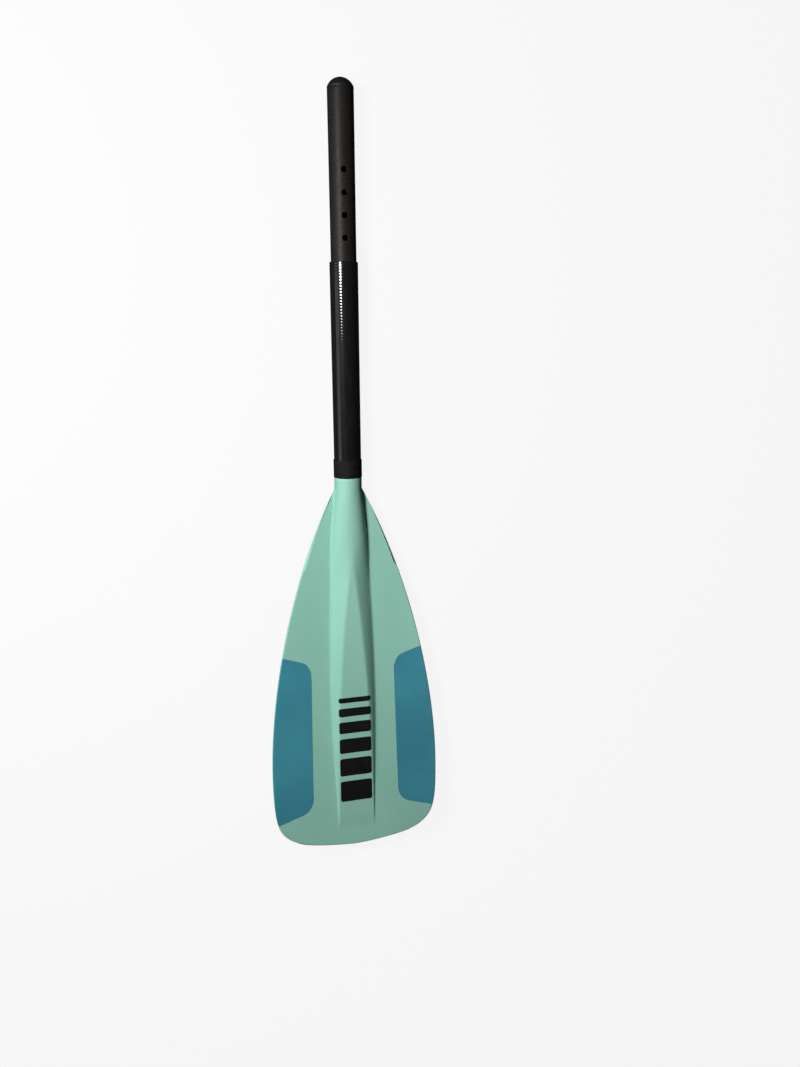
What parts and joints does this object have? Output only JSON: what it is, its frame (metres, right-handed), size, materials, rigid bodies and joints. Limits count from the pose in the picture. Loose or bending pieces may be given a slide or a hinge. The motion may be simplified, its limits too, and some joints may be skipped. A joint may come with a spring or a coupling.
{
  "type": "single blade paddle section",
  "caption": "Scooped paddle blade with a raised spine on a short round shaft, with a stepped-down spigot, a row of index holes and a domed end plug.",
  "frame": {"origin": "on the shaft axis at the shoulder, where the spigot leaves the shaft", "axes": "+Y along the shaft axis, out of the spigot; the blade's tip points to -Y; +Z is the side that the blade is scooped towards and that the index holes open to; +X to the right"},
  "size_m": [0.193, 0.83, 0.0343],
  "materials": {
    "mint_moulding": "satin moulded nylon",
    "teal_film": "satin",
    "black_film": "satin",
    "bare_fibre": "matt, sanded",
    "collar_sleeve": "matt",
    "gloss_shaft": "gloss over fine wound tape",
    "foam": "closed-cell foam",
    "satin_spigot": "satin",
    "plug_plastic": "satin"
  },
  "bodies": {
    "root": {"blade": "mint_moulding", "left_panel": "teal_film", "right_panel": "teal_film", "spine_mark": "black_film", "joiner_tube": "bare_fibre", "collar": "collar_sleeve", "lower_tube": "gloss_shaft", "foam_bung": "foam", "spigot_tube": "satin_spigot", "end_plug": "plug_plastic"}
  },
  "joints": []
}
